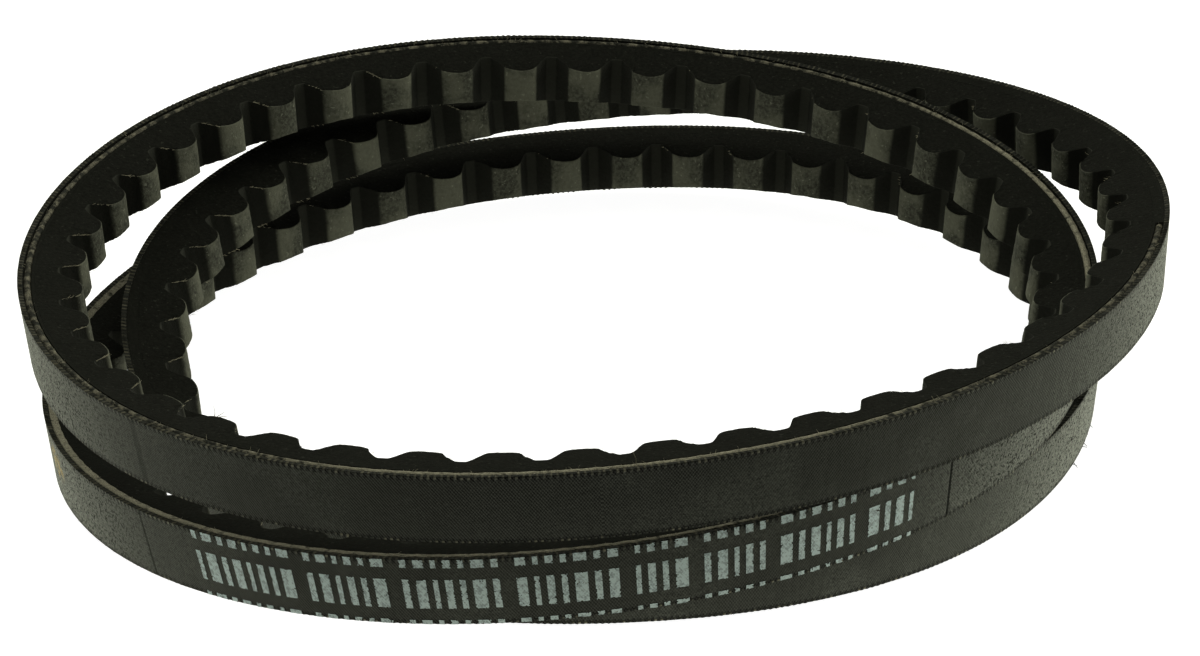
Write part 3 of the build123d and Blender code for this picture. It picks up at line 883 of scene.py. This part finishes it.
def build_fibres():
    """Frayed yarn: pale ends from the cut cord and the cogs' corners, dark fuzz on the fabric's edges."""
    pale = []
    for s in rng.uniform(EXPOSED_FROM, EXPOSED_TO, CORD_FIBRES):
        side = 1 if rng.random() < 0.7 else -1
        pale.append(hair(s, side, CORD_MIDDLE + rng.uniform(-0.35, 0.45), rng.uniform(0.2, 0.65),
                         rng.uniform(-1, 1), rng.uniform(0.05, 0.8), rng.uniform(-0.8, 0.8),
                         rng.uniform(0.014, 0.026)))
    wall_top = FIRST_COG - COG_PITCH / 2 + TIP_START
    wall_foot = FIRST_COG - COG_PITCH / 2 + ROOT / 2
    wall_depth = HEIGHT - LEADING_DROP - SHOULDER
    for cog in range(COGS):
        rough = any(low < cog * COG_PITCH < high for low, high in BURRED)
        burrs = int(rng.uniform(10, 32)) if rough else int(8 * rng.random() ** 2)
        for _ in range(burrs):
            side = 1 if rng.random() < 0.7 else -1
            up_wall = rng.uniform(0, 0.95)
            s = cog * COG_PITCH + wall_foot + (wall_top - wall_foot) * up_wall
            depth = SHOULDER + wall_depth * up_wall
            pale.append(hair(s, side, depth, rng.uniform(0.2, 0.6), rng.uniform(-0.5, 0.5),
                             rng.uniform(0.05, 0.25), rng.uniform(0.4, 1.3),
                             rng.uniform(0.016, 0.034)))
    pale += [hair(*fibre, 0.05) for fibre in PALE_FIBRES]
    hair_mesh("loose_fibres", pale, FIBRE, 6, 4)
    dark = []
    for s in rng.uniform(0, DATUM_LENGTH, FUZZ_FIBRES):
        side = 1 if rng.random() < 0.5 else -1
        dark.append(hair(s, side, rng.uniform(0.0, FABRIC), rng.uniform(0.08, 0.26), rng.uniform(-0.8, 0.8),
                         rng.uniform(0.2, 1), rng.uniform(-0.9, 0.2), rng.uniform(0.014, 0.024)))
    hair_mesh("edge_fuzz", dark, GUM, 3, 4)
    hair_mesh("dark_fibres", [hair(*fibre, 0.055) for fibre in DARK_FIBRES], GUM, 8, 6)


# (distance, side, depth, length, lean along, lean out of the flank, lean inwards)
BURRED = ((60, 190), (880, 1010))       # stretches, as distances along, where the cogs' corners are frayed
PALE_FIBRES = [
    (1246.0, 1, 1.0, 1.7, -0.3, 1.0, 0.2),
    (1237.0, 1, 1.1, 0.7, -0.7, 1.0, 0.1),
    (1209.0, 1, 1.0, 0.8, 0.5, 0.8, 0.2),
    (52.0, 1, 7.5, 1.6, -0.9, 0.5, 0.5),
    (52.2, 1, 7.4, 1.3, -0.6, 0.9, 0.2),
    (51.8, 1, 7.6, 1.2, -0.9, 0.1, 0.6),
]
DARK_FIBRES = [
    (749.0, -1, 0.1, 1.0, 0.3, 0.6, -1.0),
    (754.0, -1, 0.1, 1.5, 0.5, 0.4, -1.0),
    (755.0, -1, 0.1, 1.2, -0.7, 0.3, -1.0),
    (759.5, -1, 0.1, 1.3, 0.8, 0.3, -0.9),
    (760.0, -1, 0.1, 0.9, -0.5, 0.2, -1.0),
]


# ---- studio ----
def look_at(thing, target):
    direction = Vector(target) - thing.location
    thing.rotation_euler = direction.to_track_quat("-Z", "Y").to_euler()


TENT_TINT = (0.97, 1.0, 0.80, 1)
# the table is lit from behind: dark before the belt, white beyond it
FLOOR_FRONT, FLOOR_BACK = -0.15, -0.03


def glow_nodes(tree, coordinate, low_at, high_at, low, high):
    """A strength that rises smoothly with one coordinate."""
    ramp = tree.nodes.new("ShaderNodeMapRange")
    ramp.interpolation_type = "SMOOTHSTEP"
    for name, value in (("From Min", low_at), ("From Max", high_at), ("To Min", low), ("To Max", high)):
        ramp.inputs[name].default_value = value
    tree.links.new(coordinate, ramp.inputs["Value"])
    return ramp.outputs[0]


def floor_material():
    """A white table: seen directly it is evenly pale, while what it throws on the belt falls off in front."""
    n = Nodes("floor")
    split = n.node("ShaderNodeSeparateXYZ")
    n.feed(split.inputs[0], n.place())
    thrown = n.node("ShaderNodeEmission")
    thrown.inputs["Color"].default_value = TENT_TINT
    aside = n.math("MULTIPLY", n.math("ABSOLUTE", split.outputs["X"]), 0.4)
    behind = n.math("SUBTRACT", split.outputs["Y"], aside)
    n.feed(thrown.inputs["Strength"], glow_nodes(n.tree, behind, FLOOR_FRONT, FLOOR_BACK, 0.12, 1.0))
    glow = n.node("ShaderNodeEmission")
    glow.inputs["Color"].default_value = (1, 1, 1, 1)
    glow.inputs["Strength"].default_value = 0.97
    lit = n.node("ShaderNodeBsdfDiffuse")
    tone = n.noise(n.place(), 3.0, 2)
    n.feed(lit.inputs["Color"], n.mix(tone, (0.40, 0.40, 0.40, 1), (0.44, 0.44, 0.43, 1)))
    seen = n.node("ShaderNodeAddShader")
    n.feed(seen.inputs[0], glow.outputs[0])
    n.feed(seen.inputs[1], lit.outputs[0])
    ray = n.node("ShaderNodeLightPath")
    either = n.node("ShaderNodeMixShader")
    n.feed(either.inputs[0], ray.outputs["Is Camera Ray"])
    n.feed(either.inputs[1], thrown.outputs[0])
    n.feed(either.inputs[2], seen.outputs[0])
    n.tree.links.new(either.outputs[0], n.tree.nodes["Material Output"].inputs["Surface"])
    return n.material


def build_floor():
    size = 2.0
    corners = [(-size, -size), (size, -size), (size, size), (-size, size)]
    mesh = bpy.data.meshes.new("floor")
    mesh.from_pydata([(x, y, CAD_LOW.z) for x, y in corners], [], [(0, 1, 2, 3)])
    floor = bpy.data.objects.new("floor", mesh)
    bpy.context.scene.collection.objects.link(floor)
    mesh.materials.append(floor_material())


def soft_light(name, place, target, width, height, power):
    data = bpy.data.lights.new(name, "AREA")
    data.shape = "RECTANGLE"
    data.size, data.size_y = width, height
    data.energy = power
    data.color = TENT_TINT[:3]
    light = bpy.data.objects.new(name, data)
    light.location = place
    look_at(light, target)
    bpy.context.scene.collection.objects.link(light)


def build_world():
    """A white light tent that is open, and so dark, towards the camera."""
    world = bpy.data.worlds.new("tent")
    world.use_nodes = True
    tree = world.node_tree
    background = tree.nodes["Background"]
    direction = tree.nodes.new("ShaderNodeTexCoord")
    split = tree.nodes.new("ShaderNodeSeparateXYZ")
    tree.links.new(direction.outputs["Generated"], split.inputs[0])
    strength = glow_nodes(tree, split.outputs["Y"], -0.55, 0.3, 0.10, 1.0)
    tree.links.new(strength, background.inputs["Strength"])
    background.inputs["Color"].default_value = TENT_TINT
    seen = tree.nodes.new("ShaderNodeBackground")
    ray = tree.nodes.new("ShaderNodeLightPath")
    either = tree.nodes.new("ShaderNodeMixShader")
    tree.links.new(ray.outputs["Is Camera Ray"], either.inputs[0])
    tree.links.new(background.outputs[0], either.inputs[1])
    tree.links.new(seen.outputs[0], either.inputs[2])
    tree.links.new(either.outputs[0], tree.nodes["World Output"].inputs["Surface"])
    seen.inputs["Color"].default_value = (1, 1, 1, 1)
    bpy.context.scene.world = world


FOCAL_SHARE = 3965 / 1200      # focal length over the picture's width
CAMERA_DISTANCE = 0.5515
CAMERA_PITCH = math.radians(26.71)
AIM = Vector((0.0004, 0.0251, 0.0003))


def build_camera():
    data = bpy.data.cameras.new("camera")
    data.sensor_width = 36
    data.lens = 36 * FOCAL_SHARE
    data.clip_start = 0.01
    camera = bpy.data.objects.new("camera", data)
    camera.location = AIM + CAMERA_DISTANCE * Vector((0, -math.cos(CAMERA_PITCH), math.sin(CAMERA_PITCH)))
    look_at(camera, AIM)
    bpy.context.scene.collection.objects.link(camera)
    bpy.context.scene.camera = camera


build_fabric()
build_gum()
build_laps()
build_cut_cord(1, "cut_cord_upper", "raw_edge_cord_upper")
build_cut_cord(-1, "cut_cord_lower", "raw_edge_cord_lower")
build_rubber()
MARK_LOW = MARK_ACROSS - MARK_HEIGHT / 2
build_marking("marking", "printed_marking", MARK_LOW, MARK_LOW + MARK_HEIGHT)
build_marking("marking_upper_edge", "printed_edge_row_upper", TOP_WIDTH / 2 - 1.25, TOP_WIDTH / 2 - 0.05)
build_marking("marking_lower_edge", "printed_edge_row_lower", -TOP_WIDTH / 2 + 0.05, -TOP_WIDTH / 2 + 0.65)
build_fibres()

build_floor()
build_world()
soft_light("overhead", (0, 0.1, 0.75), (0, 0, 0), 0.9, 0.6, 1.2)
soft_light("left", (-0.75, 0.1, 0.25), (0, 0, 0.02), 0.5, 0.4, 0.3)
soft_light("right", (0.75, 0.2, 0.25), (0, 0, 0.02), 0.5, 0.4, 2.4)
build_camera()
bpy.context.scene.view_settings.view_transform = "Standard"
